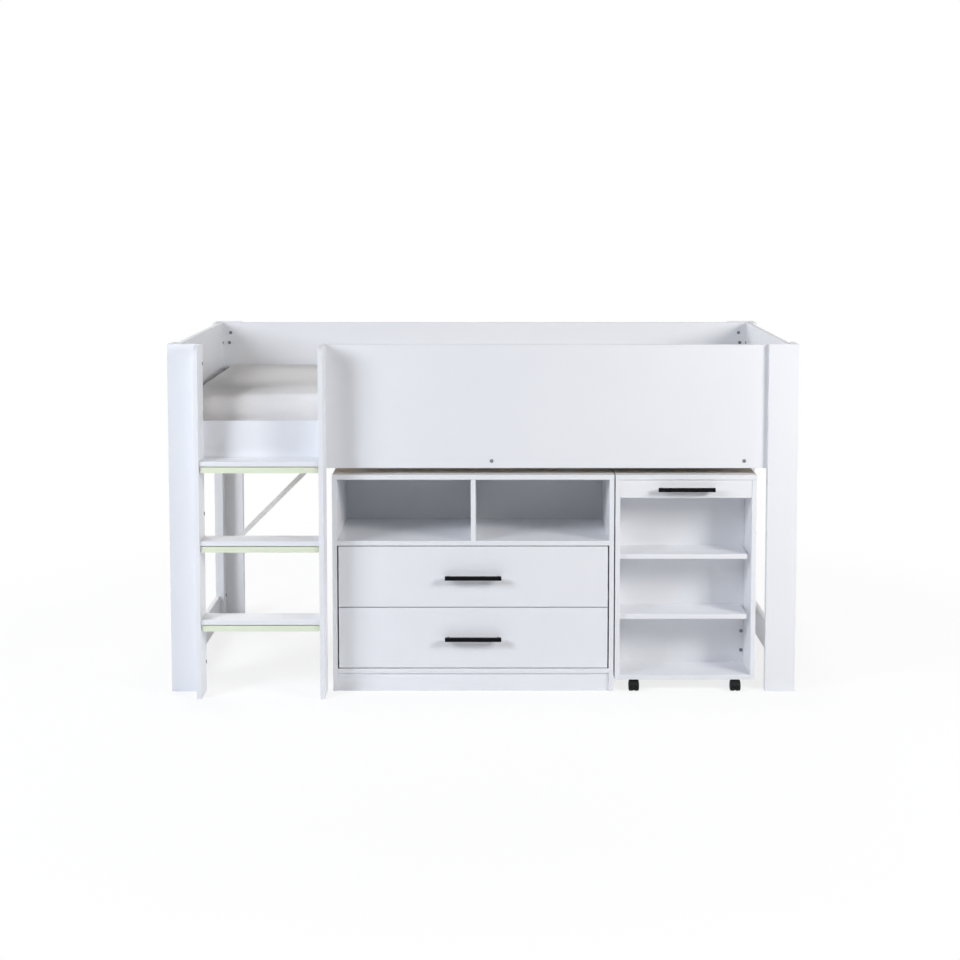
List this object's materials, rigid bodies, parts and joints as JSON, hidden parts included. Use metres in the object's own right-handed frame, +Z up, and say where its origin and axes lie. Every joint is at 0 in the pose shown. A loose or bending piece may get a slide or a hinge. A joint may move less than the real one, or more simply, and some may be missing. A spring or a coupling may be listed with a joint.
{
  "type": "cabin bed",
  "caption": "Mid-height cabin bed in white laminated board with a step ladder, a free-standing chest of drawers and a roll-out desk on castors under the mattress.",
  "frame": {"origin": "centre of the bounding box's base, on the floor under the middle of the object", "axes": "+X along the bed to the right as seen from the front, -Y towards the ladder, the drawer fronts and the open side of the shelves, +Z up"},
  "size_m": [2, 1.055, 1.12],
  "materials": {
    "white_board": "white laminated chipboard, satin",
    "white_sheet": "white painted hardboard, satin",
    "slat_wood": "planed softwood, matt",
    "brace_metal": "flat bar, powder coated off-white",
    "glow_plastic": "pale green luminous strip, matt",
    "mattress_fabric": "off-white woven cotton cover",
    "bolt_steel": "zinc-plated steel, satin",
    "runner_steel": "white coated sheet steel",
    "black_metal": "matt black coated bar",
    "castor_plastic": "black moulded nylon"
  },
  "bodies": {
    "bed": {"post_front_left": "white_board", "post_front_right": "white_board", "post_back_left": "white_board", "post_back_right": "white_board", "post_packers": "white_board", "front_side_panel": "white_board", "back_panel": "white_board", "end_panel_left": "white_board", "end_panel_right": "white_board", "lower_end_rails": "white_board", "ladder_stringer_left": "white_board", "ladder_stringer_right": "white_board", "ladder_tread_lower": "white_board", "ladder_tread_middle": "white_board", "ladder_tread_upper": "white_board", "chest_top": "white_board", "chest_side_left": "white_board", "chest_side_right": "white_board", "chest_divider": "white_board", "chest_cubby_floor": "white_board", "chest_bottom": "white_board", "chest_plinth": "white_board", "chest_back": "white_sheet", "slat_cleats": "slat_wood", "bed_slats": "slat_wood", "back_braces": "brace_metal", "glow_strips": "glow_plastic", "mattress": "mattress_fabric", "frame_bolts": "bolt_steel", "brace_screws": "bolt_steel", "chest_runners": "runner_steel"},
    "drawer_upper": {"drawer_upper_front": "white_board", "drawer_upper_box": "white_board", "drawer_upper_bottom": "white_sheet", "drawer_upper_slides": "runner_steel", "drawer_upper_handle": "black_metal"},
    "drawer_lower": {"drawer_lower_front": "white_board", "drawer_lower_box": "white_board", "drawer_lower_bottom": "white_sheet", "drawer_lower_slides": "runner_steel", "drawer_lower_handle": "black_metal"},
    "desk": {"desk_top": "white_board", "desk_side_left": "white_board", "desk_side_right": "white_board", "desk_apron": "white_board", "desk_shelves": "white_board", "desk_bottom": "white_board", "desk_back": "white_board", "desk_rear_leg": "white_board", "desk_stretcher": "white_board", "desk_cams": "bolt_steel", "desk_handle": "black_metal"},
    "castor_front_left": {"castor_hood_front_left": "castor_plastic"},
    "castor_wheels_front_left": {"castor_wheels_front_left": "castor_plastic"},
    "castor_front_right": {"castor_hood_front_right": "castor_plastic"},
    "castor_wheels_front_right": {"castor_wheels_front_right": "castor_plastic"},
    "castor_rear_left": {"castor_hood_rear_left": "castor_plastic"},
    "castor_wheels_rear_left": {"castor_wheels_rear_left": "castor_plastic"},
    "castor_rear_right": {"castor_hood_rear_right": "castor_plastic"},
    "castor_wheels_rear_right": {"castor_wheels_rear_right": "castor_plastic"}
  },
  "joints": [
    {"name": "drawer_upper_slide", "type": "slide", "parent": "bed", "child": "drawer_upper", "axis": [0, -1, 0], "range_m": [0, 0.26]},
    {"name": "drawer_lower_slide", "type": "slide", "parent": "bed", "child": "drawer_lower", "axis": [0, -1, 0], "range_m": [0, 0.26]},
    {"name": "desk_roll_out", "type": "slide", "parent": "bed", "child": "desk", "axis": [0, -1, 0], "range_m": [-0.08, 0.7]},
    {"name": "castor_swivel_front_left", "type": "hinge", "parent": "desk", "child": "castor_front_left", "pos_m": [0.484, -0.417, 0.03], "axis": [0, 0, 1], "continuous": true},
    {"name": "castor_spin_front_left", "type": "hinge", "parent": "castor_front_left", "child": "castor_wheels_front_left", "pos_m": [0.484, -0.433, 0.0165], "axis": [1, 0, 0], "continuous": true},
    {"name": "castor_swivel_front_right", "type": "hinge", "parent": "desk", "child": "castor_front_right", "pos_m": [0.81, -0.417, 0.03], "axis": [0, 0, 1], "continuous": true},
    {"name": "castor_spin_front_right", "type": "hinge", "parent": "castor_front_right", "child": "castor_wheels_front_right", "pos_m": [0.81, -0.433, 0.0165], "axis": [1, 0, 0], "continuous": true},
    {"name": "castor_swivel_rear_left", "type": "hinge", "parent": "desk", "child": "castor_rear_left", "pos_m": [0.484, 0.3625, 0.03], "axis": [0, 0, 1], "continuous": true},
    {"name": "castor_spin_rear_left", "type": "hinge", "parent": "castor_rear_left", "child": "castor_wheels_rear_left", "pos_m": [0.484, 0.3465, 0.0165], "axis": [1, 0, 0], "continuous": true},
    {"name": "castor_swivel_rear_right", "type": "hinge", "parent": "desk", "child": "castor_rear_right", "pos_m": [0.81, 0.3625, 0.03], "axis": [0, 0, 1], "continuous": true},
    {"name": "castor_spin_rear_right", "type": "hinge", "parent": "castor_rear_right", "child": "castor_wheels_rear_right", "pos_m": [0.81, 0.3465, 0.0165], "axis": [1, 0, 0], "continuous": true}
  ]
}
